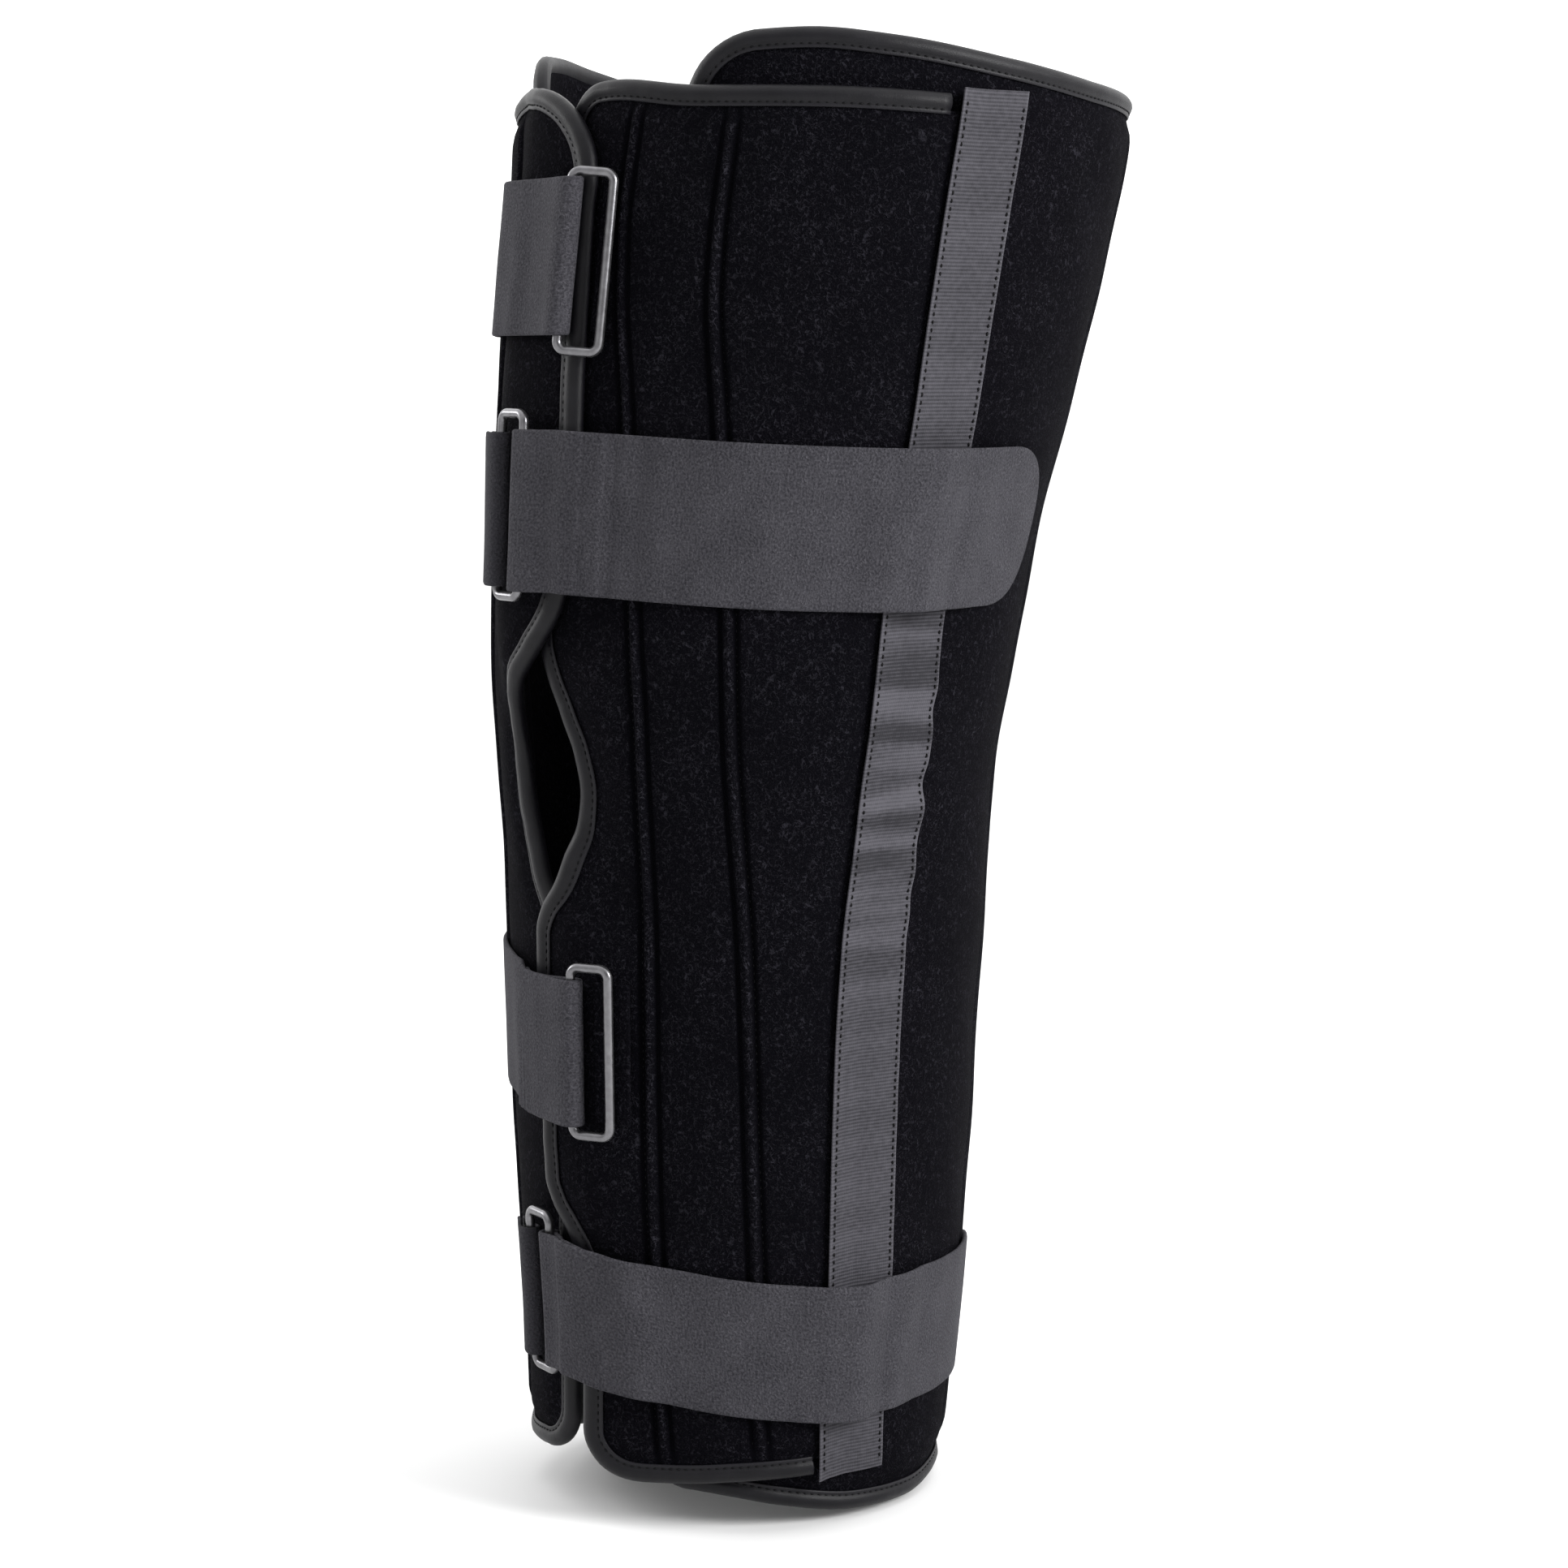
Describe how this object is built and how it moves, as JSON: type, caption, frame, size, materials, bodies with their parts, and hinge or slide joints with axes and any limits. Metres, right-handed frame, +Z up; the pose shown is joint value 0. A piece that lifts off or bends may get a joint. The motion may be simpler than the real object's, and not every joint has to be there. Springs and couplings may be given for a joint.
{
  "type": "knee immobilizer",
  "caption": "Knee immobilizer in its worn shape: padded back and side panels round the leg, an opening for the kneecap, straps with wire rings and rear hook tapes.",
  "frame": {"origin": "middle of the knee, on the middle line of the leg space at the height of the kneecap opening", "axes": "+Z up the leg, -Y out of the front of the knee, +X towards the side whose hook tape the picture shows"},
  "size_m": [0.1997, 0.2252, 0.4605],
  "materials": {
    "loop_cloth": "brushed loop cloth, nearly black",
    "binding": "smooth stretch binding, charcoal",
    "tape": "fine ribbed grey tape",
    "webbing": "soft felted grey strap",
    "ring_metal": "dark satin wire",
    "tab_cloth": "plain black cloth"
  },
  "bodies": {
    "root": {"back_panel": "loop_cloth", "back_binding": "binding", "near_side_panel": "loop_cloth", "near_side_binding": "binding", "near_hook_tape": "tape", "far_side_panel": "loop_cloth", "far_side_binding": "binding", "far_hook_tape": "tape", "strap_1": "webbing", "ring_1": "ring_metal", "ring_tab_1": "tab_cloth", "strap_2": "webbing", "ring_2": "ring_metal", "ring_tab_2": "tab_cloth", "strap_3": "webbing", "ring_3": "ring_metal", "ring_tab_3": "tab_cloth", "strap_4": "webbing", "ring_4": "ring_metal", "ring_tab_4": "tab_cloth"}
  },
  "joints": []
}
